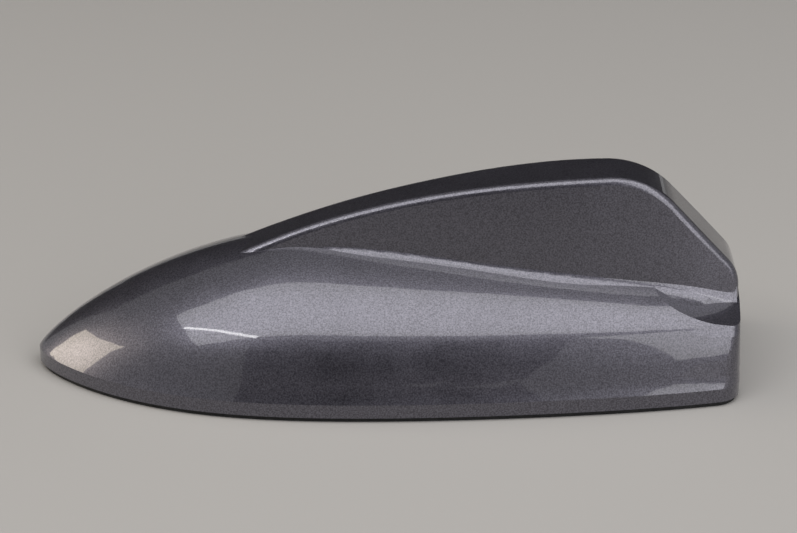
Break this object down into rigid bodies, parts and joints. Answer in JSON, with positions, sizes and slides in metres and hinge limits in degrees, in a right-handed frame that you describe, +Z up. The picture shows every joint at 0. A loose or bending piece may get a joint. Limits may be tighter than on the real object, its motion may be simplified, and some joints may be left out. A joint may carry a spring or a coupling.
{
  "type": "car roof antenna",
  "caption": "Shark-fin car roof antenna: a painted teardrop cover with a tall rear fin on a cast base, with seals, connector, circuit board and aerial elements inside.",
  "frame": {"origin": "middle of the footprint, on the roof surface under the rim seal", "axes": "+X towards the tail, +Z up away from the roof, nose at -X"},
  "size_m": [0.165, 0.0644, 0.0497],
  "materials": {
    "shell_paint": "gloss",
    "seal_rubber": "matte",
    "cast_base": "satin",
    "screw_steel": "satin",
    "insert_steel": "satin",
    "contact_steel": "satin",
    "black_plastic": "matte",
    "contact_brass": "satin",
    "board_laminate": "satin",
    "patch_ceramic": "matte",
    "can_sheet": "satin",
    "former_plastic": "matte",
    "coil_wire": "gloss",
    "vent_plastic": "matte"
  },
  "bodies": {
    "root": {"outer_shell": "shell_paint", "rim_seal": "seal_rubber", "base_plate": "cast_base", "base_screws": "screw_steel", "fixing_insert": "insert_steel", "earth_contact": "contact_steel", "hole_seal": "seal_rubber", "connector_housing": "black_plastic", "connector_pins": "contact_brass", "connector_sleeves": "contact_brass", "main_board": "board_laminate", "board_screws": "screw_steel", "patch_antenna": "patch_ceramic", "patch_pin": "contact_brass", "shield_can": "can_sheet", "element_carrier": "black_plastic", "top_load": "can_sheet", "coil_former": "former_plastic", "coil_winding": "coil_wire", "phone_element": "can_sheet", "vent_plug": "vent_plastic"}
  },
  "joints": []
}
